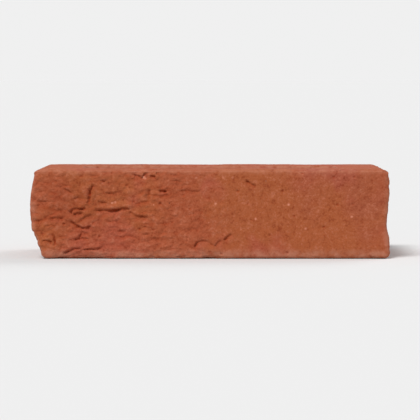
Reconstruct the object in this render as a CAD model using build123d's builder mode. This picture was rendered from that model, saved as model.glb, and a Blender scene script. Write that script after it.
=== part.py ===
from build123d import *

import os

# A soft-mud moulded clay facing brick: one fired block with a frog, slumped ends, soft arrises and
# the creases that the wet clay folded into its faces. Units are millimetres. X runs along the
# stretcher faces, Y across the beds and Z up from the lower bed. The origin is the middle of the
# lower bed, and the face that shows in a wall looks along -Y.

# The block at its widest, as fired
brick_length = 210.0
brick_width = 100.0
brick_height = 52.0

# Rounding left by the sanded mould and by handling
corner_radius = 3.0
arris_radius = 2.0

# The left end filled the mould only along its belly. Below, its foot slumped back, less so at the back.
# Heights of a foot are up from the lower bed, and drops of a head are down from the upper bed.
left_belly_foot = 25.0
left_belly_drop = 16.0
left_ankle_height = 12.3
left_ankle_inset = 3.4
left_toe_inset = 6.6
left_toe_inset_back = 4.0
left_shoulder_drop = 8.0
left_shoulder_inset = 1.5
left_crown_inset = 2.8

# The right end filled it near its head, and is pinched below that
right_belly_foot_drop = 14.0
right_belly_drop = 6.0
right_waist_height = 20.0
right_waist_inset = 1.7
right_toe_inset = 0.3
right_crown_inset = 1.3

# Each end leans back by this much from the show face to the back
left_end_skew = 1.2
right_end_skew = 0.8

# Draft of the mould's long walls, and the hollow of the faces between their foot and their head
side_draft = 0.7
face_hollow = 0.6

# Frog pressed into the upper bed
frog_length = 150.0
frog_width = 52.0
frog_depth = 12.0
frog_wall_angle = 38.0
frog_corner_radius = 14.0
frog_floor_radius = 4.0
frog_rim_radius = 1.8

# The outlines run past both beds by this much, and the section then cuts the beds flat
bed_trim = 2.0

# A wane in the lower arris of the show face, where the clay stopped short of the mould: a long shallow
# facet between two places from the left end, and how deep its middle lies below the unrounded corner
wane_start = 9.0
wane_end = 53.0
wane_depth = 2.1
wane_reach = 4.0

# Creases, where the wet clay lapped over itself: steep above their line and gentle below it, each
# along an arc through three places. Places are along the face from its left end, seen from outside,
# and up from its mid height. A crease is deepest in its middle and lifts off the face at both ends.
crease_depth = 1.5
crease_over = 0.5
crease_under = 1.5
crease_lift = 0.1
show_creases = (
    ((38.8, 1.3), (48.5, 1.9), (58.5, 2.2)),
    ((55.6, 3.4), (60.4, -0.4), (68.0, -1.4)),
    ((23.4, -3.2), (28.0, -7.0), (36.0, -7.2)),
    ((38.2, 17.2), (35.8, 11.4), (34.5, 6.8)),
    ((29.2, -3.6), (33.0, -1.4), (37.4, 0.8)),
    ((95.8, -19.2), (101.4, -15.2), (107.2, -17.6)),
    ((40.6, 6.5), (46.0, 5.8), (51.0, 6.7)),
    ((13.9, -11.0), (14.8, -14.5), (15.1, -17.9)),
)
back_creases = (
    ((51.4, -17.3), (70.0, -11.8), (88.6, -13.1)),
    ((88.4, -13.5), (104.0, -16.5), (118.6, -16.0)),
    ((55.2, 3.6), (59.4, 6.4), (63.4, 10.6)),
    ((27.4, 7.2), (36.0, 5.4), (46.6, 5.5)),
    ((124.4, 8.4), (132.4, 5.4), (145.6, 7.0)),
    ((129.4, -13.7), (137.6, -16.4), (146.6, -13.9)),
    ((122.4, -1.7), (133.0, -3.7), (147.6, -4.6)),
)
left_creases = (
    ((19.4, 3.6), (32.0, 6.3), (48.6, 6.0)),
    ((49.4, 0.4), (58.0, -1.8), (67.6, 0.3)),
)
right_creases = (
    ((25.4, 14.2), (36.0, 16.4), (47.6, 14.9)),
    ((47.4, 3.0), (56.6, 0.6), (67.6, 2.3)),
)

left_end = -brick_length / 2
right_end = brick_length / 2
bottom = -bed_trim
top = brick_height + bed_trim

with BuildPart() as brick:
    # Outlines of the ends at the show face and at the back, joined straight through the width
    for depth, toe_inset, left_skew, right_skew in (
        (-brick_width / 2, left_toe_inset, 0, 0),
        (brick_width / 2, left_toe_inset_back, left_end_skew, right_end_skew),
    ):
        left, right = left_end + left_skew, right_end - right_skew
        with BuildSketch(Plane.XZ.offset(-depth)):
            with BuildLine():
                left_foot = Spline(
                    (left, left_belly_foot),
                    (left + left_ankle_inset * toe_inset / left_toe_inset, left_ankle_height),
                    (left + toe_inset, bottom),
                    tangents=((0, -1), (0.1, -1)),
                )
                left_belly = Line(left_foot @ 0, (left, brick_height - left_belly_drop))
                left_crown = Spline(
                    left_belly @ 1,
                    (left + left_shoulder_inset, brick_height - left_shoulder_drop),
                    (left + left_crown_inset, top),
                    tangents=((0, 1), (0, 1)),
                )
                over_line = Line(left_crown @ 1, (right - right_crown_inset, top))
                right_crown = Spline(
                    over_line @ 1,
                    (right, brick_height - right_belly_drop),
                    tangents=((0.2, -1), (0, -1)),
                )
                right_belly = Line(right_crown @ 1, (right, brick_height - right_belly_foot_drop))
                right_foot = Spline(
                    right_belly @ 1,
                    (right - right_waist_inset, right_waist_height),
                    (right - right_toe_inset, bottom),
                    tangents=((0, -1), (0, -1)),
                )
                Line(right_foot @ 1, left_foot @ 1)
            make_face()
    loft(ruled=True)

    # The section across the block, with the draft and the hollow of its long faces
    with BuildSketch(Plane.YZ):
        with BuildLine():
            face_line = ThreePointArc(
                (-brick_width / 2, 0),
                (-brick_width / 2 + side_draft / 2 + face_hollow, brick_height / 2),
                (-brick_width / 2 + side_draft, brick_height),
            )
            mirror(face_line, about=Plane.YZ)
            Line(face_line @ 0, (brick_width / 2, 0))
            Line(face_line @ 1, (brick_width / 2 - side_draft, brick_height))
        make_face()
    extrude(amount=brick_length, both=True, mode=Mode.INTERSECT)

    # Rounded corners and arrises
    show_face = brick.faces().sort_by(Axis.Y)[0]
    back_face = brick.faces().sort_by(Axis.Y)[-1]
    corners = [
        edge
        for edge in show_face.edges() + back_face.edges()
        if not arris_radius > min(edge.center().Z, brick_height - edge.center().Z)
    ]
    fillet(corners, radius=corner_radius)
    fillet(brick.edges().group_by(Axis.Z)[0] + brick.edges().group_by(Axis.Z)[-1], radius=arris_radius)

    # The frog, with its sloping walls, dished floor and eased rim
    with BuildSketch(Plane.XY.offset(brick_height)):
        RectangleRounded(frog_length, frog_width, frog_corner_radius)
    extrude(amount=-frog_depth, taper=frog_wall_angle, mode=Mode.SUBTRACT)
    frog_floor = brick.faces().filter_by(Axis.Z).sort_by(Axis.Z)[1]
    fillet(frog_floor.edges(), radius=frog_floor_radius)
    bed_face = brick.faces().filter_by(Axis.Z).sort_by(Axis.Z)[-1]
    fillet(bed_face.inner_wires()[0].edges(), radius=frog_rim_radius)

    # The wane, cut by a flat edge that only the middle of its arc brings through the arris
    into_corner = Vector(0, 1, 1).normalized()
    with BuildLine() as wane:
        ThreePointArc(
            Vector(left_end + wane_start, -brick_width / 2, 0),
            Vector(left_end + (wane_start + wane_end) / 2, -brick_width / 2, 0) + into_corner * wane_depth,
            Vector(left_end + wane_end, -brick_width / 2, 0),
        )
    with BuildSketch(Plane(wane.line @ 0, x_dir=into_corner, z_dir=wane.line % 0)):
        Rectangle(wane_reach, 2 * wane_reach, align=(Align.MAX, Align.CENTER))
    sweep(path=wane.line, mode=Mode.SUBTRACT)

    # The creases, each cut along an arc that only its middle brings down to the face
    block = brick.part
    middle = brick_height / 2
    for side, creases in (
        (Plane((left_end, -brick_width / 2, middle), x_dir=(1, 0, 0), z_dir=(0, -1, 0)), show_creases),
        (Plane((right_end, brick_width / 2, middle), x_dir=(-1, 0, 0), z_dir=(0, 1, 0)), back_creases),
        (Plane((left_end, brick_width / 2, middle), x_dir=(0, -1, 0), z_dir=(-1, 0, 0)), left_creases),
        (Plane((right_end, -brick_width / 2, middle), x_dir=(0, 1, 0), z_dir=(1, 0, 0)), right_creases),
    ):
        for places in creases:
            points = []
            for (along, rise), share in zip(places, (1, 0, 1)):
                above = side.from_local_coords((along, rise, 0))
                surface = block.find_intersection_points(Axis(above, -side.z_dir))[0][0]
                points.append(surface + side.z_dir * share * (crease_depth + crease_lift))
            with BuildLine() as crease:
                ThreePointArc(*points)
            with BuildSketch(Plane(crease.line @ 0, x_dir=-side.z_dir, z_dir=crease.line % 0)):
                with BuildLine():
                    Polyline(
                        (crease_depth, 0),
                        (-crease_depth, 2 * crease_over),
                        (-crease_depth, -2 * crease_under),
                        close=True,
                    )
                make_face()
            sweep(path=crease.line, mode=Mode.SUBTRACT)

brick.part.label = "brick"
os.makedirs("parts", exist_ok=True)
export_step(brick.part, "parts/brick.step")
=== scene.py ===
import math
import random

import bmesh
import bpy
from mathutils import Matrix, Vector


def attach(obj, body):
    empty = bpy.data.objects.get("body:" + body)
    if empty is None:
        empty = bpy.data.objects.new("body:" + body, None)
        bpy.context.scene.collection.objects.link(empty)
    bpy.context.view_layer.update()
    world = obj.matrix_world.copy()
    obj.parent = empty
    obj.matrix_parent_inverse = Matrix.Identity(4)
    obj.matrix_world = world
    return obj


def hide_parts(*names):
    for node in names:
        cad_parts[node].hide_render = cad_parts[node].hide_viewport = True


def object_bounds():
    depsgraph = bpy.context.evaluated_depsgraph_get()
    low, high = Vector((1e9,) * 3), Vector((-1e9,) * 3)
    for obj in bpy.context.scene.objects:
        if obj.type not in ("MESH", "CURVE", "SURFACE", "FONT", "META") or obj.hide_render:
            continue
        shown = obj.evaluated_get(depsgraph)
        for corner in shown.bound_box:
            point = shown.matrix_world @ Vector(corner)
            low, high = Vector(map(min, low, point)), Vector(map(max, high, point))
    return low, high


# A soft-mud clay facing brick: a moulded block with a frog, its folds, pits and sand, and its fired colours.
# The show face looks along -Y, X runs along it and Z is up. Sizes in the dictionaries are in millimetres.

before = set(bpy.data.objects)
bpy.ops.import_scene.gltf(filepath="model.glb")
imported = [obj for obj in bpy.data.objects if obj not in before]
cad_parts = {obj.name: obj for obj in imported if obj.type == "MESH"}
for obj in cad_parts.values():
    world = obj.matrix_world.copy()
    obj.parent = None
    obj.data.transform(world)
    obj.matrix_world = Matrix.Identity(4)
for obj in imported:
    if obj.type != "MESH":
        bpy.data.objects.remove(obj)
cadLow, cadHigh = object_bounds()
mm = 0.001
print("frame loaded")


# Node helpers: each takes numbers or sockets and gives back a socket

def plug(tree, socket, value):
    if isinstance(value, bpy.types.NodeSocket):
        tree.links.new(value, socket)
    else:
        socket.default_value = value


def calc(tree, operation, *values):
    made = tree.nodes.new("ShaderNodeMath")
    made.operation = operation
    for socket, value in zip(made.inputs, values):
        plug(tree, socket, value)
    return made.outputs[0]


def chain(tree, operation, values):
    total = values[0]
    for value in values[1:]:
        total = calc(tree, operation, total, value)
    return total


def addUp(tree, *values):
    return chain(tree, "ADD", values)


def times(tree, *values):
    return chain(tree, "MULTIPLY", values)


def largest(tree, *values):
    return chain(tree, "MAXIMUM", values)


def less(tree, value, taken):
    return calc(tree, "SUBTRACT", value, taken)


def unsigned(tree, value):
    return calc(tree, "ABSOLUTE", value)


def ramp(tree, value, fromLow, fromHigh, toLow=0.0, toHigh=1.0, smooth=True):
    made = tree.nodes.new("ShaderNodeMapRange")
    made.interpolation_type = "SMOOTHSTEP" if smooth else "LINEAR"
    plug(tree, made.inputs["Value"], value)
    plug(tree, made.inputs["From Min"], fromLow)
    plug(tree, made.inputs["From Max"], fromHigh)
    plug(tree, made.inputs["To Min"], toLow)
    plug(tree, made.inputs["To Max"], toHigh)
    return made.outputs[0]


def fade(tree, value, first, last, atFirst=0.0, atLast=1.0):
    # a ramp between two places that are given in millimetres
    return ramp(tree, value, first * mm, last * mm, atFirst, atLast)


def softEdges(tree, value, *edges):
    # a fade for each edge, given as where it is 0 and where it is 1
    return [fade(tree, value, *edge) for edge in edges]


def vectorCalc(tree, operation, first, second=None, scale=None):
    made = tree.nodes.new("ShaderNodeVectorMath")
    made.operation = operation
    plug(tree, made.inputs[0], first)
    if second is not None:
        plug(tree, made.inputs[1], second)
    if scale is not None:
        plug(tree, made.inputs["Scale"], scale)
    return made.outputs["Value" if operation in ("LENGTH", "DISTANCE", "DOT_PRODUCT") else "Vector"]


def elsewhere(tree, vector, shift):
    return vectorCalc(tree, "ADD", vector, shift)


def drawnOut(tree, vector, share):
    # a noise read at this place is drawn out across and not upward
    return vectorCalc(tree, "MULTIPLY", vector, (share, share, 1.0))


def apart(tree, vector):
    made = tree.nodes.new("ShaderNodeSeparateXYZ")
    plug(tree, made.inputs[0], vector)
    return made.outputs[0], made.outputs[1], made.outputs[2]


def noiseAt(tree, vector, size, detail=2.0, rough=0.5, output="Fac"):
    made = tree.nodes.new("ShaderNodeTexNoise")
    plug(tree, made.inputs["Vector"], vector)
    made.inputs["Scale"].default_value = 1000 / size
    made.inputs["Detail"].default_value = detail
    made.inputs["Roughness"].default_value = rough
    return made.outputs[output]


def patchy(tree, vector, size, low, high, toLow=0.0, toHigh=1.0, detail=1.0):
    # a noise with its contrast drawn apart, into patches with soft edges
    return ramp(tree, noiseAt(tree, vector, size, detail), low, high, toLow, toHigh)


def cellsAt(tree, vector, size):
    made = tree.nodes.new("ShaderNodeTexVoronoi")
    plug(tree, made.inputs["Vector"], vector)
    made.inputs["Scale"].default_value = 1000 / size
    return made.outputs["Distance"], made.outputs["Color"]


def warp(tree, vector, size, amount, detail=1.0):
    # pushes the sampling place about, so that a straight thing comes out irregular
    push = vectorCalc(tree, "SUBTRACT", noiseAt(tree, vector, size, detail, output="Color"), (0.5, 0.5, 0.5))
    return vectorCalc(tree, "ADD", vector, vectorCalc(tree, "SCALE", push, scale=amount * mm))


# The block, shaped from a cube as the mould and its own weight shaped the clay

block = {
    "length": 209.9, "width": 99.6, "height": 51.7, "floor": 0.15,
    "arris": 2.2, "arrisSteps": 4,
    # the edges across the two ends: which end, foot or head, and how round the clay left them
    "endEdges": ((-1, "foot", 3.4), (-1, "head", 3.8), (1, "head", 3.6), (1, "foot", 3.2)),
    "frogLength": 150, "frogWidth": 52, "frogDepth": 12, "frogAngle": 38,
    "frogCorner": 14, "cornerSteps": 6, "frogFoot": 4, "frogRim": 1.8, "frogSteps": 4,
    # height above the lower bed, then how far the left and the right end stand back there
    "ends": ((0, 6.9, 0.3), (4, 6.7, 0.3), (7, 6.2, 0.4), (9.6, 5.3, 0.5), (12.3, 3.9, 0.8), (15, 2.4, 1.4),
             (18, 1.3, 2.1), (22, 0.7, 2.1), (27, 0.1, 1.6), (32, 0, 1.0), (36, 0.2, 0.4), (40, 0.8, 0.1),
             (44, 1.5, 0.1), (48, 2.4, 0.9), (52, 2.9, 1.8)),
    # the left foot ends at this height, and this share of its slump reaches the back
    "footHeight": 20, "footAtBack": 0.62,
    # how far each end leans in at the back, and the draft and hollow of the long faces
    "skewLeft": 1.2, "skewRight": 0.8, "draft": 0.7, "hollow": 0.6,
    # how far in from a side or an end a corner still moves with it, and how far once the ends have moved
    "sideReach": 5, "endReach": 8, "movedReach": 10,
    # the even skin, and how many faces it keeps, most of them this near the show face
    "grain": 0.5, "smoothing": 8, "faces": 190000, "fineReach": 4,
}


def pick(kind, test):
    # selects the corners, edges or faces of the open mesh whose places pass the test
    bpy.ops.mesh.select_mode(type=kind)
    bpy.ops.mesh.select_all(action="DESELECT")
    shape = bmesh.from_edit_mesh(bpy.context.edit_object.data)
    for item in {"VERT": shape.verts, "EDGE": shape.edges, "FACE": shape.faces}[kind]:
        places = [item.co / mm] if kind == "VERT" else [corner.co / mm for corner in item.verts]
        if test(places):
            item.select = True
    shape.select_flush_mode()
    bmesh.update_edit_mesh(bpy.context.edit_object.data)


def near(value, goal):
    return abs(value - goal) < 0.02


halfLength, halfWidth = block["length"] / 2, block["width"] / 2
bedTop = block["floor"] + block["height"]
endAt, sideAt = halfLength - block["endReach"], halfWidth - block["sideReach"]
backEndAt = halfLength - block["movedReach"]


def withinBed(places):
    return all(abs(p.x) < halfLength - block["sideReach"] and abs(p.y) < sideAt for p in places)


bpy.ops.object.select_all(action="DESELECT")
bpy.ops.mesh.primitive_cube_add(size=1, location=(0, 0, 0))
clay = bpy.context.object
clay.name = clay.data.name = "claybrick"
bpy.ops.object.mode_set(mode="EDIT")
bpy.ops.transform.resize(value=(block["length"] * mm, block["width"] * mm, block["height"] * mm))
bpy.ops.transform.translate(value=(0, 0, (block["floor"] + block["height"] / 2) * mm))

# The frog: inset, its corners rounded, sunk with sloping walls, then its foot and rim rounded
pick("FACE", lambda places: all(near(p.z, bedTop) for p in places))
margin = (block["width"] - block["frogWidth"]) / 2
bpy.ops.mesh.inset(thickness=margin * mm)
bpy.ops.transform.resize(value=(block["frogLength"] / (block["length"] - 2 * margin), 1, 1))
bpy.ops.mesh.bevel(offset=block["frogCorner"] * mm, segments=block["cornerSteps"], affect="VERTICES")
manyCorners = 4 * block["cornerSteps"]  # the frog's face has more than this, and each face round it fewer
pick("FACE", lambda places: len(places) > manyCorners and withinBed(places)
     and all(near(p.z, bedTop) for p in places))
slope = block["frogDepth"] * math.tan(math.radians(block["frogAngle"]))
bpy.ops.mesh.inset(thickness=slope * mm, depth=-block["frogDepth"] * mm)
bpy.ops.mesh.region_to_loop()
bpy.ops.mesh.bevel(offset=block["frogFoot"] * mm, segments=block["frogSteps"], affect="EDGES")
pick("FACE", lambda places: withinBed(places) and all(p.z > bedTop / 2 for p in places)
     and any(p.z < bedTop - 0.5 for p in places))
bpy.ops.mesh.region_to_loop()
bpy.ops.mesh.bevel(offset=block["frogRim"] * mm, segments=block["frogSteps"], affect="EDGES")

# The edges across the ends first, each by its own amount, then the outlines of the show face and the back
for side, level, radius in block["endEdges"]:
    height = bedTop if level == "head" else block["floor"]
    pick("EDGE", lambda places: all(near(p.x, side * halfLength) and near(p.z, height) for p in places))
    bpy.ops.mesh.bevel(offset=radius * mm, segments=block["arrisSteps"], affect="EDGES")
pick("EDGE", lambda places: all(near(abs(p.y), halfWidth) for p in places) and near(places[0].y, places[1].y))
bpy.ops.mesh.bevel(offset=block["arris"] * mm, segments=block["arrisSteps"], affect="EDGES")

# Cuts across the ends and faces, then each level of the block is pushed where the clay slumped
levels = [row[0] for row in block["ends"]]
for level in levels[1:-1]:
    bpy.ops.mesh.select_all(action="SELECT")
    bpy.ops.mesh.bisect(plane_co=(0, 0, level * mm), plane_no=(0, 0, 1))
for step, (level, leftIn, rightIn) in enumerate(block["ends"]):
    low = (levels[step - 1] + level) / 2 if level > levels[0] else -math.inf
    high = (level + levels[step + 1]) / 2 if level < levels[-1] else math.inf
    leftInBack = leftIn * block["footAtBack"] if level < block["footHeight"] else leftIn
    for side, depth, inward in ((-1, -1, leftIn), (-1, 1, leftInBack), (1, -1, rightIn), (1, 1, rightIn)):
        pick("VERT", lambda places: low < places[0].z <= high and places[0].x * side > endAt
             and places[0].y * depth > 0)
        bpy.ops.transform.translate(value=(-side * inward * mm, 0, 0))
    share = level / levels[-1]
    inward = block["draft"] * share + 4 * block["hollow"] * share * (1 - share)
    for side in (-1, 1):
        pick("VERT", lambda places: low < places[0].z <= high and places[0].y * side > sideAt)
        bpy.ops.transform.translate(value=(0, -side * inward * mm, 0))
for side, skew in ((-1, block["skewLeft"]), (1, block["skewRight"])):
    pick("VERT", lambda places: places[0].x * side > backEndAt and places[0].y > sideAt)
    bpy.ops.transform.translate(value=(-side * skew * mm, 0, 0))
bpy.ops.object.mode_set(mode="OBJECT")

# An even fine skin over the block, for the relief
skin = clay.modifiers.new("skin", "REMESH")
skin.mode = "VOXEL"
skin.voxel_size = block["grain"] * mm
bpy.ops.object.modifier_apply(modifier="skin")
soften = clay.modifiers.new("soften", "SMOOTH")
soften.iterations = block["smoothing"]
bpy.ops.object.modifier_apply(modifier="soften")
print("block shaped,", len(clay.data.polygons), "faces")


# The folds, wanes and pits, drawn on the faces and laid on the block

# Each fold: how deep, then its course along and up the show face from the left end's foot
showFolds = (
    (1.25, (36.4, 28.4), (39.8, 28.3), (44.4, 28.2), (48.2, 28.4), (51.6, 28.7), (54.6, 29.5), (57.4, 29.2),
     (59.4, 27.8)),
    (0.75, (57.6, 28.2), (60.2, 26.2), (62.3, 24.8), (65.4, 24.6), (70.0, 24.2)),
    (0.55, (31.2, 16.6), (29.6, 13.4), (28.2, 10.6)),
    (0.7, (39.4, 33.2), (42.4, 32.9), (46.0, 32.5)),
    (1.05, (37.4, 43.8), (36.0, 40.2), (35.4, 36.8), (34.6, 33.0), (33.8, 30.4)),
    (0.9, (34.0, 28.9), (29.5, 29.0), (25.4, 28.6), (24.2, 25.4)),
    (0.65, (24.6, 24.8), (27.6, 26.5), (31.6, 26.2)),
    (0.5, (36.6, 26.2), (33.0, 24.4), (28.9, 22.0)),
    (0.9, (22.8, 23.0), (26.8, 19.9), (30.0, 18.3), (33.6, 18.4), (37.0, 19.6)),
    (0.55, (11.6, 23.0), (16.0, 23.6), (20.6, 23.3)),
    (0.4, (8.4, 19.0), (12.2, 19.4), (16.2, 18.9)),
    (0.9, (13.9, 15.6), (14.8, 11.5), (15.1, 7.4)),
    (0.6, (6.8, 10.0), (10.0, 10.5), (13.8, 9.6)),
    (0.85, (19.0, 2.8), (22.6, 4.6), (26.5, 6.1), (30.4, 6.0)),
    (0.75, (29.0, 4.4), (34.0, 5.6), (38.6, 5.9), (43.0, 6.6)),
    (0.65, (25.8, 11.2), (30.0, 11.8), (35.2, 11.3)),
    (0.4, (19.4, 41.2), (22.6, 39.4), (25.9, 37.0)),
    (0.4, (25.4, 34.8), (29.0, 35.3), (33.0, 34.6)),
    (0.85, (59.0, 49.2), (62.0, 48.4), (65.4, 47.4), (67.8, 50.0), (70.4, 51.4)),
    (0.35, (13.0, 27.8), (16.0, 28.3), (20.0, 27.8)),
    (1.1, (75.0, 39.2), (77.4, 39.7), (80.0, 39.2)),
    (0.9, (61.0, 48.3), (63.2, 48.0), (65.3, 47.9)),
    (0.8, (70.2, 47.5), (71.8, 47.9), (73.8, 47.8)),
    (0.7, (41.0, 45.0), (42.8, 45.4), (44.6, 45.1)),
    (0.6, (70.2, 40.8), (69.7, 37.6), (70.0, 34.0)),
    (0.4, (74.4, 33.4), (77.2, 31.2), (79.9, 28.0)),
    (0.6, (95.8, 5.6), (96.8, 7.6), (98.6, 9.8), (101.4, 10.3), (104.4, 9.2), (107.6, 7.0)),
    (0.5, (106.4, 6.8), (107.8, 7.4), (109.4, 9.4), (111.8, 11.2)),
    (0.6, (112.6, 10.6), (114.2, 11.8), (115.8, 13.0), (118.0, 14.6)),
    (0.45, (125.0, 45.6), (127.2, 44.6), (129.6, 43.2), (132.2, 42.0)),
    (0.25, (84.6, 39.2), (90.0, 39.7), (95.0, 39.2), (100.4, 39.5)),
    (0.35, (43.0, 22.6), (48.0, 21.8), (53.6, 22.6)),
    (0.35, (50.4, 15.4), (55.2, 16.0), (60.6, 15.0)),
    (0.35, (4.2, 32.8), (8.4, 33.4), (12.6, 32.6)),
    (0.35, (43.6, 38.4), (48.8, 38.0), (53.0, 38.8)),
    (0.3, (80.4, 44.6), (85.6, 45.0), (90.2, 44.2)),
    (0.3, (68.6, 12.2), (74.0, 11.6), (79.0, 12.4)),
)
# The same for the back and the two ends, each seen from outside with its foot down
backFolds = (
    (0.8, (51.0, 8.6), (60.0, 12.4), (70.0, 14.2), (80.0, 13.4), (89.0, 12.8)),
    (1.0, (88.0, 12.6), (97.0, 10.8), (105.0, 9.4), (112.0, 11.2), (119.0, 10.0)),
    (0.8, (55.0, 29.4), (59.4, 32.4), (63.6, 36.8)),
    (0.6, (27.0, 33.4), (33.6, 31.2), (40.0, 32.6), (47.0, 31.4)),
    (0.7, (124.0, 34.6), (131.4, 31.2), (138.0, 33.8), (146.0, 33.0)),
    (0.6, (129.0, 12.4), (137.6, 9.6), (147.0, 12.2)),
    (0.5, (163.0, 29.0), (170.0, 31.4), (178.0, 30.0)),
    (0.5, (170.0, 13.6), (177.0, 11.4), (186.0, 13.0)),
    (0.5, (106.0, 39.6), (112.0, 42.2), (120.0, 41.0)),
    (0.7, (122.0, 24.4), (131.0, 22.2), (140.0, 23.6), (148.0, 21.4)),
    (0.5, (76.0, 40.4), (84.0, 38.8), (90.0, 40.2)),
)
leftFolds = (
    (0.8, (19.0, 29.4), (29.0, 32.6), (40.0, 31.0), (49.0, 32.0)),
    (0.8, (49.0, 26.6), (58.0, 24.2), (68.0, 26.4)),
    (0.5, (60.0, 38.2), (66.6, 35.4), (75.0, 36.8)),
    (0.5, (24.0, 14.0), (31.0, 12.2), (38.0, 14.2)),
)
rightFolds = (
    (0.8, (25.0, 40.0), (36.0, 42.4), (48.0, 40.8)),
    (0.8, (47.0, 29.2), (56.6, 26.6), (68.0, 28.4)),
    (0.5, (23.0, 16.2), (31.6, 13.8), (41.0, 15.6)),
)
# Each pit: how deep, and its place
showPits = (
    (1.0, (20.0, 20.2)), (0.8, (89.7, 36.8)), (0.8, (93.3, 29.0)), (0.8, (64.0, 17.2)), (0.8, (5.6, 31.2)),
    (0.95, (82.9, 21.1)), (0.8, (72.0, 17.0)), (0.7, (97.5, 16.4)), (0.9, (111.6, 2.9)),
    (0.8, (41.0, 12.9)), (0.8, (121.0, 39.4)), (0.6, (127.0, 32.0)), (0.7, (129.0, 22.7)),
    (0.8, (178.7, 31.6)), (0.7, (187.6, 31.6)), (0.7, (153.7, 24.8)), (0.7, (170.9, 18.5)),
    (0.8, (139.6, 13.8)), (0.9, (150.0, 3.7)), (0.9, (47.8, 50.0)), (0.8, (158.4, 49.8)),
    (0.8, (176.6, 47.5)), (0.8, (188.7, 47.5)), (0.9, (146.8, 39.4)), (0.8, (74.5, 49.8)),
    (0.6, (86.6, 50.6)), (0.8, (8.0, 14.6)), (0.7, (56.4, 42.6)), (0.6, (60.6, 33.4)), (0.6, (67.2, 18.4)),
    (0.8, (105.2, 4.0)), (1.0, (126.8, 45.0)), (1.0, (75.9, 32.1)), (0.7, (30.0, 47.8)),
)
# Each pale grain: how pale, and its place; the two at (48.2, 32.4) and (49.9, 32.9) are a painted highlight
# on a lit lump above a fold, not grains
showGrainsAndHighlight = (
    (1.0, (66.5, 47.3)), (0.9, (67.5, 46.7)), (1.0, (150.5, 31.6)), (0.9, (131.4, 23.2)),
    (0.8, (108.2, 32.1)), (0.8, (187.1, 24.5)), (0.7, (160.5, 17.7)), (0.85, (48.2, 32.4)),
    (0.8, (49.9, 32.9)), (0.5, (96.9, 47.0)), (0.45, (112.5, 47.2)), (0.45, (118.0, 47.2)),
    (0.4, (91.8, 44.2)),
)
# Where the clay stopped short of the mould along an arris: the face, how deep, and its course
wanes = (
    ("show", 1.0, (13, 0), (20, 0), (32, 0), (47, 0)), ("show", 0.45, (56, 51.5), (64, 51.5), (73, 51.5)),
    ("show", 0.6, (100, 0), (112, 0)), ("show", 0.5, (150, 51.5), (161, 51.5)),
    ("back", 0.6, (118, 51.5), (134, 51.5), (150, 51.5)), ("back", 0.6, (18, 0), (30, 0), (44, 0)),
    ("back", 0.45, (172, 51.5), (180, 51.5), (187, 51.5)), ("left", 0.5, (28, 0), (40, 0), (54, 0)),
    ("left", 0.5, (15, 51.5), (23, 51.5), (33, 51.5)), ("left", 0.4, (64, 51.5), (71, 51.5), (77, 51.5)),
    ("right", 0.6, (58, 51.5), (80, 51.5)), ("right", 0.4, (20, 51.5), (30, 51.5)),
)

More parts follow.
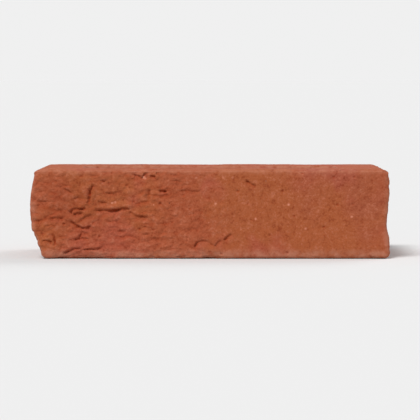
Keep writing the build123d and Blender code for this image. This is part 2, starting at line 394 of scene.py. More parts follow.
relief = {
    # a fold across its line: the steep part above it, the gentle part below it and its curve, then a roll
    # above: how high, where its crest is in steep parts, and where it ends
    "foldDepth": 1.7, "steep": 0.8, "gentle": 3.0, "gentleCurve": 1.8,
    "roll": 0.45, "rollCrest": 1.6, "rollReach": 5.0,
    # its dark line, where shade is painted, and the pale lip below it, where a highlight is painted, and how
    # far from its line it is gone: each edge from 0 to 1
    "line": ((0.8, 0.1), (-1.6, -0.2)), "lip": ((-0.5, -1.4), (-4.5, -2.0)), "foldEdge": (6, 3),
    # the other marks
    "pitDepth": 0.8, "pitReach": 0.9, "pitSoft": 1.3,
    "waneDepth": 1.4, "waneEdge": (4.0, 0.0), "grainAndHighlightEdge": (0.9, 0.3),
    # how much the depth of a mark varies from point to point
    "uneven": (0.75, 1.15),
    # noises that bend the marks: the size of each, how far it pushes, and its detail
    "foldBends": ((6, 1.4), (1.8, 0.5)), "pitBend": (1.8, 1.2), "waneBend": (12, 4.0, 2.0),
    "grainAndHighlightBend": (1.2, 0.5), "smallPitBend": (2, 0.8), "crumpleBend": (5, 2.6, 2.0),
    "footBend": (9, 3), "dragBend": (30, 3.0),
    # what is scattered: the size of its pattern, and how high it stands or how deep it goes
    "waves": (45, 0.9), "footWaves": (17, 3.2), "lumps": (7, 0.7), "crumple": (5.5, 1.05), "sand": (1.5, 0.2),
    "flaps": (9.0, 0.42), "wrinkles": (4.5, 0.24), "smallPits": (4.5, 0.6), "drag": (2.2, 0.9), "chips": 0.9,
    # how much of it there is where the clay is smooth and where it wrinkled most
    "lumpShare": (0.5, 1.5), "crumpleShare": (0.12, 1.0), "wrinkleShare": (0.15, 1.0),
    "smallPitShare": (0.6, 1.0),
    # patches: the size of their pattern, then where they start and where they are full
    "wrinkledPatches": (55, 0.42, 0.6), "flapPatches": (14, 0.44, 0.6), "wrinklePatches": (10, 0.42, 0.58),
    "chipPatches": (7, 0.54, 0.7), "foldPatches": (4, 0.3, 0.65, 0.55, 1.1),
    # flaps and wrinkles, as shares of their size: how they are bent and how far they span, their least climb,
    # how much of them rolls, and how far they are drawn out across, as the lumps and the crumpled clay are
    "lapBend": (0.7, 0.35), "lapSpan": 0.9, "lapClimb": 0.25, "lapRoll": 0.3,
    "lapDrawn": 0.45, "lumpDrawn": 0.65, "crumpleDrawn": 0.66,
    # how far the crumpled clay goes up and down, from the middle of its noise and to the sides of it
    "crumpleCurve": (0.0, 0.3, -0.25, 0.75),
    # small pits: a cell of more than this luck has one, and how wide the luckiest is
    "smallPitLuck": 0.7, "smallPitWide": 0.27,
    # along the show face, how much the clay wrinkled: where to and from, and how much there
    "wrinkledAlong": (-32, 26, 1.0, 0.12),
    # where the foot's waves are: along the block and up it
    "footAlong": (-90, -96), "footUp": ((21, 13), (1, 6)),
    # the right end is calm: from and to how far from it, and what is left of its lumps
    "calmEnd": (14, 4, 0.45),
    # how squarely a surface has to face its side: arrises, frog rim, uprights, lower bed and show face
    "arrisTurn": (0.94, 0.76), "rimTurn": (0.985, 0.9), "uprightTurn": (0.9, 0.5),
    "struckTurn": (-0.6, -0.9), "showTurn": (-0.5, -0.8),
    # out from the frog's outline, and down from the upper bed: its mouth, its walls and floor, its rim
    "mouthEdge": (3.5, 2), "wallEdges": ((0.6, 2.2), (20, 16)), "rimEdge": (3.0, 1.2),
    # dust along the edges: its width, how much of it by height, and how far it sits above the middle
    "dustEdge": (5.2, 1.2), "dustByHeight": (10, 40, 0.8, 0.5), "dustRise": 1.3,
    # how strongly each kind of mark is painted, against a fold: the painted shade of its lines and pits, the
    # painted highlight of a flap's lip, and the dust on the arrises
    "flapLine": 0.6, "flapLip": 0.4, "wrinkleLine": 0.4, "pitDark": 0.85, "smallPitDark": 0.5,
    "arrisDust": 0.8,
    # the skin stays this far inside the part's box
    "margin": 0.06,
}


def onFace(face, along, up):
    # a place on the box of the block, with that face seen from outside and its foot down
    return Vector({
        "show": (along - halfLength, -halfWidth, up),
        "back": (halfLength - along, halfWidth, up),
        "left": (-halfLength, halfWidth - along, up),
        "right": (halfLength, along - halfWidth, up),
        "upper": (along - halfLength, up - halfWidth, bedTop),
        "lower": (along - halfLength, halfWidth - up, block["floor"]),
    }[face])


def drawn(name, lines):
    # one smooth curve per line, laid on the block; a point's radius says how deep the mark is there
    curve = bpy.data.curves.new(name, "CURVE")
    curve.dimensions = "3D"
    for face, depth, *points in lines:
        spline = curve.splines.new("BEZIER")
        spline.bezier_points.add(len(points) - 1)
        for point, (along, up) in zip(spline.bezier_points, points):
            point.co = clay.closest_point_on_mesh(onFace(face, along, up) * mm)[1]
            point.handle_left_type = point.handle_right_type = "AUTO"
            point.radius = depth * chance.uniform(*relief["uneven"])
    guide = bpy.data.objects.new(name, curve)
    bpy.context.collection.objects.link(guide)
    return guide


def dotted(name, marks, reach=0.1):
    # single marks, each a very short stroke
    strokes = [(face, depth, (along - reach, up), (along + reach, up)) for face, depth, (along, up) in marks]
    return drawn(name, strokes)


stray = {
    # each face: how many folds, its length and height, how deep they go, and how far up it they start
    "folds": (("back", 26, 209, 51, 0.6), ("left", 12, 99, 51, 0.6), ("right", 10, 99, 51, 0.6),
              ("lower", 8, 209, 99, 0.5), ("upper", 7, 209, 22, 0.5), ("upper", 7, 209, 22, 0.5, 77)),
    # the same for the pits, without a depth
    "pits": (("back", 28, 209, 51), ("left", 12, 99, 51), ("right", 12, 99, 51), ("lower", 40, 209, 99),
             ("upper", 16, 209, 22), ("upper", 16, 209, 22, 77), ("upper", 10, 26, 50, 25)),
    "foldDepths": (0.4, 1.0), "pitDepths": (0.5, 1.1),
    # the steps of a fold: how many, and how long; and how many folds set off steeply
    "steps": (2, 2, 3, 3, 4, 6), "stepLengths": (2.5, 5.0), "steepOnes": 0.15,
    "seed": 41,
}
chance = random.Random(stray["seed"])


def strayFolds(face, count, wide, high, level, base=0):
    # folds for a face in the manner of those of the show face
    lines = []
    for fold in range(count):
        along, up = chance.uniform(6, wide - 16), chance.uniform(5, high - 6)
        turn = chance.gauss(0, 0.3) + (1.3 if chance.random() < stray["steepOnes"] else 0)
        points = [(along, up)]
        for step in range(chance.choice(stray["steps"])):
            reach = chance.uniform(*stray["stepLengths"])
            turn = 0.8 * turn + chance.gauss(0, 0.4)
            along, up = along + reach * math.cos(turn), up + reach * math.sin(turn)
            if not (4 < along < wide - 4 and 3 < up < high - 3):
                break
            points.append((along, up))
        if len(points) > 2:
            depth = chance.uniform(*stray["foldDepths"]) * level
            lines.append((face, depth, *((along, up + base) for along, up in points)))
    return lines


def strayPits(face, count, wide, high, base=0):
    pits = []
    for pit in range(count):
        depth = chance.uniform(*stray["pitDepths"])
        pits.append((face, depth, (chance.uniform(4, wide - 4), chance.uniform(3, high - 3) + base)))
    return pits


folds = [(face, *row) for face, rows in (("show", showFolds), ("back", backFolds), ("left", leftFolds),
                                         ("right", rightFolds)) for row in rows]
for patch in stray["folds"]:
    folds += strayFolds(*patch)
pits = [("show", *row) for row in showPits]
for patch in stray["pits"]:
    pits += strayPits(*patch)
foldGuide, waneGuide = drawn("foldGuide", folds), drawn("waneGuide", wanes)
pitGuide, grainGuide = dotted("pitGuide", pits), dotted("grainGuide", [("show", *row) for row in showGrainsAndHighlight])
print("folds and pits drawn on the block")


# The relief tree: moves the skin along its normals, and keeps what the fired colour needs to know

def joined(tree, kind, source, **values):
    # a geometry node fed from another's geometry
    made = tree.nodes.new(kind)
    tree.links.new(source, made.inputs[0])
    for name, value in values.items():
        setattr(made, name, value)
    return made


def keep(tree, shape, name, value, kind="FLOAT"):
    made = joined(tree, "GeometryNodeStoreNamedAttribute", shape, data_type=kind, domain="POINT")
    made.inputs["Name"].default_value = name
    plug(tree, made.inputs["Value"], value)
    return made.outputs["Geometry"]


def markAt(tree, guide, place, normal, spacing=0.4, runsOut=True):
    # the nearest place of the drawn lines: how far across it and which side, how far away, and how deep
    info = tree.nodes.new("GeometryNodeObjectInfo")
    info.inputs["Object"].default_value = guide
    spaced = joined(tree, "GeometryNodeResampleCurve", info.outputs["Geometry"], mode="LENGTH")
    spaced.inputs["Length"].default_value = spacing * mm
    depth = tree.nodes.new("GeometryNodeInputRadius").outputs[0]
    if runsOut:
        share = tree.nodes.new("GeometryNodeSplineParameter").outputs["Factor"]
        depth = times(tree, depth, ramp(tree, times(tree, share, less(tree, 1.0, share), 4.0), 0.0, 0.7))
    course = tree.nodes.new("GeometryNodeInputTangent").outputs[0]
    shape = keep(tree, spaced.outputs[0], "depthHere", depth)
    shape = keep(tree, shape, "courseHere", course, "FLOAT_VECTOR")
    points = joined(tree, "GeometryNodeCurveToPoints", shape, mode="EVALUATED").outputs["Points"]
    nearest = joined(tree, "GeometryNodeSampleNearest", points, domain="POINT")
    plug(tree, nearest.inputs["Sample Position"], place)
    found = []
    for kind, name in (("FLOAT", "depthHere"), ("FLOAT_VECTOR", "courseHere"), ("FLOAT_VECTOR", "position")):
        read = tree.nodes.new("GeometryNodeInputNamedAttribute")
        read.data_type = kind
        read.inputs["Name"].default_value = name
        taken = joined(tree, "GeometryNodeSampleIndex", points, data_type=kind, domain="POINT")
        plug(tree, taken.inputs["Value"], read.outputs["Attribute"])
        plug(tree, taken.inputs["Index"], nearest.outputs["Index"])
        found.append(taken.outputs["Value"])
    depth, course, spot = found
    away = vectorCalc(tree, "SUBTRACT", place, spot)
    across = vectorCalc(tree, "NORMALIZE", vectorCalc(tree, "CROSS_PRODUCT", normal, course))
    # the side that counts as above: upward, and on the beds towards the back and the right end
    upward = calc(tree, "SIGN", vectorCalc(tree, "DOT_PRODUCT", across, (0.3, 0.3, 1.0)))
    side = times(tree, vectorCalc(tree, "DOT_PRODUCT", away, across), upward)
    return side, vectorCalc(tree, "LENGTH", away), depth


def layer(tree, vector, name, detail=2.0, rough=0.5, middle=0.5):
    # a noise that goes both ways from nought, and the height that it is to have
    size, height = relief[name]
    return less(tree, noiseAt(tree, vector, size, detail, rough), middle), height * mm


def foldShape(tree, side):
    # clay lapped over clay: steep above the line, gentle below it, and a low roll above; side is in metres
    steep = fade(tree, side, 0.0, relief["steep"], 1.0, 0.0)
    gentle = ramp(tree, side, -relief["gentle"] * mm, 0.0, 0.0, 1.0, smooth=False)
    cut = times(tree, steep, calc(tree, "POWER", gentle, relief["gentleCurve"]))
    crest = relief["steep"] * relief["rollCrest"]
    roll = times(tree, *softEdges(tree, side, (0.0, crest), (relief["rollReach"], crest)))
    # line: where shade is painted along the fold; lip: a painted highlight, paler pink, on the slope below it
    # that faces the light
    line, lip = (times(tree, *softEdges(tree, side, *relief[name])) for name in ("line", "lip"))
    return cut, roll, line, lip


tree = bpy.data.node_groups.new("clayRelief", "GeometryNodeTree")
tree.interface.new_socket("Geometry", in_out="INPUT", socket_type="NodeSocketGeometry")
tree.interface.new_socket("Geometry", in_out="OUTPUT", socket_type="NodeSocketGeometry")
entry, finish = tree.nodes.new("NodeGroupInput"), tree.nodes.new("NodeGroupOutput")
place = tree.nodes.new("GeometryNodeInputPosition").outputs[0]
normal = tree.nodes.new("GeometryNodeInputNormal").outputs[0]
placeX, placeY, placeZ = apart(tree, place)
normalX, normalY, normalZ = apart(tree, normal)

# Which part of the block a place belongs to, each from 0 to 1
squareOn = largest(tree, *(unsigned(tree, value) for value in (normalX, normalY, normalZ)))
mouthOut, mouthIn = relief["mouthEdge"]
frogMouth = times(tree, *(
    softEdges(tree, unsigned(tree, value), (extent / 2 + mouthOut, extent / 2 + mouthIn))[0]
    for value, extent in ((placeX, block["frogLength"]), (placeY, block["frogWidth"]))))
wallEdges = [(bedTop - nought, bedTop - full) for nought, full in relief["wallEdges"]]
rimEdge = [bedTop - down for down in relief["rimEdge"]]
# the frog's walls and floor, where the colour paints shade
inFrog = times(tree, frogMouth, *softEdges(tree, placeZ, *wallEdges))
onRim = times(tree, frogMouth, *softEdges(tree, placeZ, rimEdge), ramp(tree, normalZ, *relief["rimTurn"]))
onArris = times(tree, ramp(tree, squareOn, *relief["arrisTurn"]), ramp(tree, inFrog, 0.0, 1.0, 1.0, 0.15))
offBed = ramp(tree, unsigned(tree, normalZ), *relief["uprightTurn"])
onStruck = ramp(tree, normalZ, *relief["struckTurn"])
onShow = ramp(tree, normalY, *relief["showTurn"])

# Where the clay wrinkled most: at the left of the show face, in patches elsewhere
patches = patchy(tree, place, *relief["wrinkledPatches"])
leftward = fade(tree, placeX, *relief["wrinkledAlong"])
wrinkled = addUp(tree, times(tree, onShow, leftward), times(tree, less(tree, 1.0, onShow), patches))

# Folds, along the drawn lines
bent = place
for bend in relief["foldBends"]:
    bent = warp(tree, bent, *bend)
foldSide, foldAway, foldDepth = markAt(tree, foldGuide, bent, normal)
foldDepth = times(tree, foldDepth, fade(tree, foldAway, *relief["foldEdge"]),
                  patchy(tree, place, *relief["foldPatches"]))
cut, roll, line, lip = foldShape(tree, foldSide)
foldMove = addUp(tree, times(tree, cut, foldDepth, -relief["foldDepth"] * mm),
                 times(tree, roll, foldDepth, relief["roll"] * mm))
foldLine, foldLip = times(tree, line, foldDepth), times(tree, lip, foldDepth)


# Flaps and wrinkles: the same lap of clay, where a drawn-out noise crosses its middle on the way up
def laps(tree, name, mask, seed):
    size, height = relief[name]
    bendSize, bendReach = relief["lapBend"]
    bentPlace = elsewhere(tree, warp(tree, place, size * bendSize, size * bendReach, 2.0), (seed, 0.0, 0.0))
    level, levelAbove = (
        noiseAt(tree, drawnOut(tree, spot, relief["lapDrawn"]), size, 1.0)
        for spot in (bentPlace, elsewhere(tree, bentPlace, (0.0, 0.0, 0.5 * mm))))
    climb = less(tree, levelAbove, level)
    crossing = times(tree, less(tree, level, 0.5), size * relief["lapSpan"] * mm)
    here = times(tree, ramp(tree, climb, 0.0, relief["lapClimb"] / size), mask, offBed)
    cut, roll, line, lip = (times(tree, value, here) for value in foldShape(tree, crossing))
    return (times(tree, cut, -height * mm), times(tree, roll, height * relief["lapRoll"] * mm)), line, lip


flapMask = times(tree, patchy(tree, place, *relief["flapPatches"]), wrinkled)
flapMove, flapLine, flapLip = laps(tree, "flaps", flapMask, 0.2)
wrinkleMask = times(tree, patchy(tree, elsewhere(tree, place, (0.5, 0.2, 0.1)), *relief["wrinklePatches"]),
                    ramp(tree, wrinkled, 0.0, 1.0, *relief["wrinkleShare"]))
wrinkleMove, wrinkleLine = laps(tree, "wrinkles", wrinkleMask, 0.6)[:2]
lapMove = addUp(tree, *flapMove, *wrinkleMove)

# Pits, larger ones listed and small ones scattered
bent = warp(tree, place, *relief["pitBend"])
pitAway, pitDepth = markAt(tree, pitGuide, bent, normal, runsOut=False)[1:]
pitWide = times(tree, ramp(tree, pitDepth, 0.0, 1.0, 0.5, 1.0), relief["pitReach"] * relief["pitSoft"] * mm)
pitNear = times(tree, ramp(tree, pitAway, 0.1 * mm, pitWide, 1.0, 0.0), pitDepth)
pitSpread, smallPitDepth = relief["smallPits"]
cellAway, cellColour = cellsAt(tree, warp(tree, place, *relief["smallPitBend"]), pitSpread)
cellLuck, lucky = apart(tree, cellColour)[0], relief["smallPitLuck"]
cellSize = addUp(tree, ramp(tree, cellLuck, lucky, 1.0, 0.0, relief["smallPitWide"], smooth=False), 0.001)
smallPit = times(tree, ramp(tree, cellAway, 0.0, cellSize, 1.0, 0.0),
                 ramp(tree, cellLuck, lucky, lucky + 0.1),
                 ramp(tree, wrinkled, 0.0, 1.0, *relief["smallPitShare"]))
pitMove = addUp(tree, times(tree, pitNear, -relief["pitDepth"] * mm),
                times(tree, smallPit, -smallPitDepth * mm))

# Wanes and small chips along the arrises
bent = warp(tree, place, *relief["waneBend"])
waneAway, waneDepth = markAt(tree, waneGuide, bent, normal, 1.0)[1:]
waneNear = times(tree, fade(tree, waneAway, *relief["waneEdge"]), waneDepth)
chip = times(tree, onArris, patchy(tree, place, *relief["chipPatches"], detail=2.0))
edgeMove = addUp(tree, times(tree, waneNear, -relief["waneDepth"] * mm),
                 times(tree, chip, -relief["chips"] * mm))

# Broad waves, lumps, crumpled clay, sand, the waves of the left foot, and the drag of the strike
calmFrom, calmTo, calmLeft = relief["calmEnd"]
calm = fade(tree, placeX, halfLength - calmFrom, halfLength - calmTo, 1.0, calmLeft)
wave = times(tree, *layer(tree, place, "waves", 1.0))
lump = times(tree, *layer(tree, drawnOut(tree, place, relief["lumpDrawn"]), "lumps", 3.0, 0.55),
             ramp(tree, wrinkled, 0.0, 1.0, *relief["lumpShare"]), calm)
crumpled = drawnOut(tree, warp(tree, place, *relief["crumpleBend"]), relief["crumpleDrawn"])
crumpled, crumpleHigh = layer(tree, crumpled, "crumple")
crumpled = ramp(tree, unsigned(tree, crumpled), *relief["crumpleCurve"], smooth=False)
crumple = times(tree, crumpled, crumpleHigh, ramp(tree, wrinkled, 0.1, 1.0, *relief["crumpleShare"]),
                offBed, calm)
sand = times(tree, *layer(tree, place, "sand"))
footWave = times(tree, fade(tree, placeX, *relief["footAlong"]), *softEdges(tree, placeZ, *relief["footUp"]),
                 *layer(tree, warp(tree, place, *relief["footBend"]), "footWaves"))
dragPlace = vectorCalc(tree, "MULTIPLY", warp(tree, place, *relief["dragBend"]), (0.03, 1.0, 1.0))
drag = times(tree, onStruck, *layer(tree, dragPlace, "drag", 3.0, middle=0.62))

fine = addUp(tree, foldMove, lapMove, lump, crumple, pitMove)
offset = addUp(tree, fine, edgeMove, wave, footWave, sand, drag)
moved = vectorCalc(tree, "ADD", place, vectorCalc(tree, "SCALE", normal, scale=offset))
inset = Vector((relief["margin"] * mm,) * 3)
inside = vectorCalc(tree, "MAXIMUM", moved, tuple(Vector(cadLow) + inset))
inside = vectorCalc(tree, "MINIMUM", inside, tuple(Vector(cadHigh) - inset))

# What the colour follows: painted shade in the creases and pits, a painted highlight on the pale lips, dust
# along the edges, pale grains and at two places a painted highlight, how high the relief stands for painted
# shade and highlight, and the frog for painted shade
# painted shade: darker in the pits and along the lines of folds, flaps and wrinkles
pitShade = addUp(tree, times(tree, pitNear, relief["pitDark"]), times(tree, smallPit, relief["smallPitDark"]))
crease = largest(tree, foldLine, times(tree, flapLine, relief["flapLine"]),
                 times(tree, wrinkleLine, relief["wrinkleLine"]), pitShade)
dustOut, dustIn = relief["dustEdge"]
dustMiddle = relief["dustRise"] + (bedTop + block["floor"]) / 2
reachX, reachY, reachZ = (
    softEdges(tree, unsigned(tree, value), (extent - dustOut, extent - dustIn))[0] for value, extent in
    ((placeX, halfLength), (placeY, halfWidth), (less(tree, placeZ, dustMiddle * mm), block["height"] / 2)))
beside = largest(tree, times(tree, reachX, reachY), times(tree, reachY, reachZ), times(tree, reachX, reachZ))
beside = times(tree, beside, fade(tree, placeZ, *relief["dustByHeight"]))
arris = largest(tree, times(tree, largest(tree, onArris, onRim), relief["arrisDust"]), beside,
                times(tree, waneNear, relief["arrisDust"]))
# pale grains, and at two of the listed places a painted highlight
bent = warp(tree, place, *relief["grainAndHighlightBend"])
grainAndHighlightAway, grainAndHighlightDepth = markAt(tree, grainGuide, bent, normal, runsOut=False)[1:]
pale = times(tree, fade(tree, grainAndHighlightAway, *relief["grainAndHighlightEdge"]), grainAndHighlightDepth)
# lip: a painted highlight, paler on the slopes below folds and flaps that face the light
lip = addUp(tree, foldLip, times(tree, flapLip, relief["flapLip"]))
# how high the fine relief stands, in millimetres, which the colour turns into painted shade in hollows and a
# painted highlight on heights
rise = calc(tree, "DIVIDE", fine, mm)
shape = entry.outputs[0]
for name, value in (("crease", crease), ("lip", lip), ("arris", arris), ("pale", pale), ("rise", rise),
                    ("frog", inFrog)):
    shape = keep(tree, shape, name, value)
setPlace = joined(tree, "GeometryNodeSetPosition", shape)
plug(tree, setPlace.inputs["Position"], inside)
tree.links.new(setPlace.outputs["Geometry"], finish.inputs[0])

press = clay.modifiers.new("press", "NODES")
press.node_group = tree
bpy.ops.object.select_all(action="DESELECT")
bpy.context.view_layer.objects.active = clay
clay.select_set(True)
bpy.ops.object.modifier_apply(modifier="press")
for guide in (foldGuide, pitGuide, waneGuide, grainGuide):
    bpy.data.objects.remove(guide)
print("relief pressed in")

# Fewer faces, most of them kept on the show face
kept = clay.vertex_groups.new(name="kept")
fineBack = (block["fineReach"] - halfWidth) * mm
kept.add([point.index for point in clay.data.vertices if point.co.y > fineBack], 1.0, "REPLACE")
thin = clay.modifiers.new("thin", "DECIMATE")
thin.vertex_group = "kept"
thin.vertex_group_factor = 1.0
thin.ratio = block["faces"] / (2 * len(clay.data.polygons))
bpy.ops.object.modifier_apply(modifier="thin")
clay.vertex_groups.remove(clay.vertex_groups["kept"])
bpy.ops.object.shade_smooth()
print("thinned to", len(clay.data.polygons), "faces")


# The fired clay

clayColours = {
    "red": (161, 81, 50), "orange": (162, 85, 48), "pink": (165, 81, 58), "plum": (150, 76, 58),
    # low and high: the dark and the pale clay of the mottle, also used for painted shade in hollows and a
    # painted highlight on heights
    "low": (120, 38, 8), "high": (192, 118, 90),
    # crease: the colour of the painted shade in folds and pits
    "crease": (152, 52, 10), "dust": (178, 118, 94), "sandGrain": (212, 138, 111), "ironSpot": (92, 46, 34),
    # the drifts of colour: what bends them, then the size of each, where it starts and where it is full
    "driftBend": (30, 14), "orangeDrift": (48, 0.42, 0.6), "pinkDrift": (30, 0.5, 0.66, 0, 0.8),
    "plumDrift": (60, 0.56, 0.74, 0, 0.5),
    # what a place's tone is made up of: how much of each, then the size, detail and roughness of its pattern
    "mottleBend": (5, 3), "mottle": (1.1, 5, 5.0, 0.62), "speckle": (0.9, 1.3, 3.0, 0.75),
    # rise: how much the relief's height adds painted shade in hollows and a painted highlight on heights
    "sand": (0.22, 0.9), "rise": 0.16,
    # the tones of the dark, the plain and the pale clay
    "tones": (0.72, 1.1, 1.5),
    # how strongly each colour covers what is under it: frog and crease are painted shade, lip a painted
    # highlight
    "cover": {"low": 0.62, "high": 0.5, "frog": 0.3, "lip": 0.35, "crease": 0.6, "grain": 0.85, "iron": 0.7,
              "paleSpeck": 0.7},
    # the dust's pattern, and how it covers: where it starts, where it is full, the least and the most
    "dustPattern": (5, 4.0, 0.6), "dustCover": (0.34, 0.6, 0.25, 0.85),
    # the clay fired darker where it was kneaded most: the middle of that place, its reach and how dark
    "kneadedBend": (12, 8), "kneaded": ((-80, -50, 31), 22, 0.22),
    # specks: how far apart their cells are, then how rare each kind is and how wide
    "speckBend": (2, 0.8), "specks": 6.5, "paleSpeck": (0.88, 0.12), "ironSpeck": (0.9, 0.1),
    # the grain felt in the surface: how strong, how high, and how rough and how shiny it is
    "bump": 0.8, "bumpHeight": 0.35, "roughness": (0.84, 0.97), "shine": 0.25,
    # its grit: how much of each size, with detail and roughness, and how much the single grains add
    "grit": ((0.5, 0.7, 3.0, 0.7), (1.3, 2.4, 4.0, 0.65)), "grains": 0.35,
}


def fired(name):
    # the colours above are as seen on a screen, and the shader wants them linear
    return tuple(((c / 255 + 0.055) / 1.055) ** 2.4 for c in clayColours[name]) + (1.0,)


def blend(tree, amount, first, second):
    made = tree.nodes.new("ShaderNodeMix")
    made.data_type = "RGBA"
    plug(tree, made.inputs[0], amount)
    plug(tree, made.inputs[6], first)
    plug(tree, made.inputs[7], second)
    return made.outputs[2]


def stored(tree, name):
    made = tree.nodes.new("ShaderNodeAttribute")
    made.attribute_name = name
    return made.outputs["Fac"]


firedClay = bpy.data.materials.new("firedClay")
firedClay.use_nodes = True
tree = firedClay.node_tree
shader = tree.nodes["Principled BSDF"]
spot = tree.nodes.new("ShaderNodeTexCoord").outputs["Object"]
cover = clayColours["cover"]

# Broad drifts of colour, from four clays of the same pit
drift = warp(tree, spot, *clayColours["driftBend"])
pinkDrift = patchy(tree, elsewhere(tree, drift, (0.3, 0.1, 0.2)), *clayColours["pinkDrift"], 2.0)
plumDrift = patchy(tree, elsewhere(tree, drift, (0.7, 0.4, 0.9)), *clayColours["plumDrift"], 3.0)
orangeDrift = patchy(tree, drift, *clayColours["orangeDrift"], detail=2.0)
tint = blend(tree, orangeDrift, fired("red"), fired("orange"))
tint = blend(tree, pinkDrift, tint, fired("pink"))
tint = blend(tree, plumDrift, tint, fired("plum"))

# Mottle, speckle and sand, with painted shade in the hollows and a painted highlight on the heights of the
# relief
mottleShare, *mottlePattern = clayColours["mottle"]
speckleShare, *specklePattern = clayColours["speckle"]
sandShare, sandSize = clayColours["sand"]
sandAway, sandColour = cellsAt(tree, spot, sandSize)
sandLuck = apart(tree, sandColour)
mottled = warp(tree, spot, *clayColours["mottleBend"])
tone = addUp(tree, times(tree, noiseAt(tree, mottled, *mottlePattern), mottleShare),
             times(tree, noiseAt(tree, spot, *specklePattern), speckleShare),
             times(tree, sandLuck[0], sandShare), times(tree, stored(tree, "rise"), clayColours["rise"]))
toneLow, toneMiddle, toneHigh = clayColours["tones"]
shade = blend(tree, ramp(tree, tone, toneMiddle, toneLow, 0, cover["low"]), tint, fired("low"))
shade = blend(tree, ramp(tree, tone, toneMiddle, toneHigh, 0, cover["high"]), shade, fired("high"))
kneadedPlace, kneadedReach, kneadedDark = clayColours["kneaded"]
kneadedAway = vectorCalc(tree, "DISTANCE", warp(tree, spot, *clayColours["kneadedBend"]),
                         tuple(Vector(kneadedPlace) * mm))
shade = blend(tree, fade(tree, kneadedAway, kneadedReach, 5, 0.0, kneadedDark), shade, fired("low"))

# The colours that follow the relief: painted shade in the frog, dust on the edges, a painted highlight on the
# lips, painted shade in the creases and pits
# painted shade: the frog's walls and floor darkened towards plum, as shade falls in the recess
shade = blend(tree, times(tree, stored(tree, "frog"), cover["frog"]), shade, fired("plum"))
dusty = ramp(tree, noiseAt(tree, spot, *clayColours["dustPattern"]), *clayColours["dustCover"])
shade = blend(tree, times(tree, stored(tree, "arris"), dusty), shade, fired("dust"))
# painted highlight: the lips below folds and flaps paler pink
shade = blend(tree, times(tree, stored(tree, "lip"), cover["lip"]), shade, fired("pink"))
# painted shade: creases and pits darkened towards a deep red-brown
shade = blend(tree, times(tree, stored(tree, "crease"), cover["crease"]), shade, fired("crease"))

# Pale grains and iron spots, in a few cells each
speckAway, speckColour = cellsAt(tree, warp(tree, spot, *clayColours["speckBend"]), clayColours["specks"])
paleLuck, sizeLuck, ironLuck = apart(tree, speckColour)


def specks(tree, luck, rare, widest):
    reach = ramp(tree, sizeLuck, 0, 1, 0.05, widest)
    return times(tree, ramp(tree, luck, rare, rare + 0.01), ramp(tree, speckAway, reach, 0.03))


paleSpeck = times(tree, specks(tree, paleLuck, *clayColours["paleSpeck"]), cover["paleSpeck"])
ironSpeck = specks(tree, ironLuck, *clayColours["ironSpeck"])
# pale specks and the listed grains, two of which are a painted highlight
grains = largest(tree, paleSpeck, stored(tree, "pale"))
shade = blend(tree, times(tree, grains, cover["grain"]), shade, fired("sandGrain"))
shade = blend(tree, times(tree, ironSpeck, cover["iron"]), shade, fired("ironSpot"))
plug(tree, shader.inputs["Base Color"], shade)
plug(tree, shader.inputs["Roughness"], patchy(tree, spot, 3, 0.3, 0.7, *clayColours["roughness"], detail=2.0))
shader.inputs["Specular IOR Level"].default_value = clayColours["shine"]

# The sanded surface: fine grit, coarser grit and single grains
grit = [times(tree, noiseAt(tree, spot, *pattern), share) for share, *pattern in clayColours["grit"]]
grainHigh = ramp(tree, sandAway, 0.0, 0.6, 1.0, 0.0)
bumpy = addUp(tree, *grit, times(tree, grainHigh, sandLuck[1], clayColours["grains"]))
bump = tree.nodes.new("ShaderNodeBump")
bump.inputs["Strength"].default_value = clayColours["bump"]
bump.inputs["Distance"].default_value = clayColours["bumpHeight"] * mm
plug(tree, bump.inputs["Height"], bumpy)
plug(tree, shader.inputs["Normal"], bump.outputs[0])
clay.data.materials.clear()
clay.data.materials.append(firedClay)
print("clay fired")

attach(clay, "root")
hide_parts("brick")


# The stage: a pale floor, soft studio light, and the camera at the photograph's angle

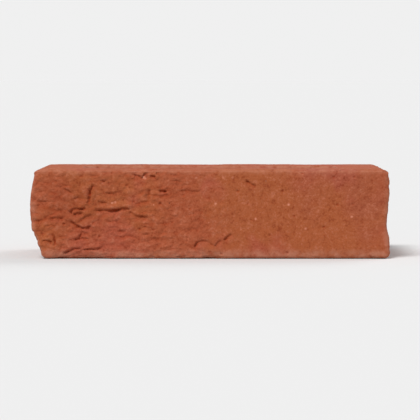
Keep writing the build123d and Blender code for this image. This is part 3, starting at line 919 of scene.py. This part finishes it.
stage = {
    "floorSize": 60.0, "floorShade": 0.74, "floorRoughness": 0.95, "world": 0.35,
    # each lamp: strength, how soft, and where it stands, from the block
    "key": (2.6, 22, (-0.45, -0.85, 1.25)), "rear": (0.9, 40, (0.7, 0.9, 0.8)),
    "backdrop": 0.87, "lookAtHeight": 26, "elevation": 2.8, "distance": 1.7, "lens": 244,
}

bpy.ops.object.select_all(action="DESELECT")
bpy.ops.mesh.primitive_plane_add(size=stage["floorSize"], location=(0, 0, 0))
floor = bpy.context.object
floor.name = floor.data.name = "paleFloor"
floorPaint = bpy.data.materials.new("palePaper")
floorPaint.use_nodes = True
shader = floorPaint.node_tree.nodes["Principled BSDF"]
shader.inputs["Base Color"].default_value = (stage["floorShade"],) * 3 + (1,)
shader.inputs["Roughness"].default_value = stage["floorRoughness"]
shader.inputs["Specular IOR Level"].default_value = 0.0
floor.data.materials.append(floorPaint)

for name in ("key", "rear"):
    strength, softness, stand = stage[name]
    lamp = bpy.data.lights.new(name + "Light", "SUN")
    lamp.energy, lamp.angle = strength, math.radians(softness)
    holder = bpy.data.objects.new(name + "Light", lamp)
    holder.location = stand
    holder.rotation_euler = (-Vector(stand)).to_track_quat("-Z", "Y").to_euler()
    bpy.context.collection.objects.link(holder)

# The world lights the block at one strength, and the camera and reflections see the backdrop's
world = bpy.data.worlds.new("studio")
bpy.context.scene.world = world
world.use_nodes = True
tree = world.node_tree
lightPath = tree.nodes.new("ShaderNodeLightPath").outputs
seen = largest(tree, *(lightPath[name] for name in ("Is Camera Ray", "Is Glossy Ray", "Is Transmission Ray")))
background = tree.nodes["Background"]
background.inputs["Color"].default_value = (1, 1, 1, 1)
strength = ramp(tree, seen, 0, 1, stage["world"], stage["backdrop"], smooth=False)
plug(tree, background.inputs["Strength"], strength)

camera = bpy.data.objects.new("camera", bpy.data.cameras.new("camera"))
bpy.context.collection.objects.link(camera)
lookAt = Vector((0, 0, stage["lookAtHeight"] * mm))
tilt = math.radians(stage["elevation"])
camera.location = lookAt + Vector((0, -math.cos(tilt), math.sin(tilt))) * stage["distance"]
camera.rotation_euler = (lookAt - camera.location).to_track_quat("-Z", "Y").to_euler()
camera.data.lens = stage["lens"]
camera.data.clip_end = 100
bpy.context.scene.camera = camera
bpy.context.scene.view_settings.view_transform = "Standard"
print("stage set")
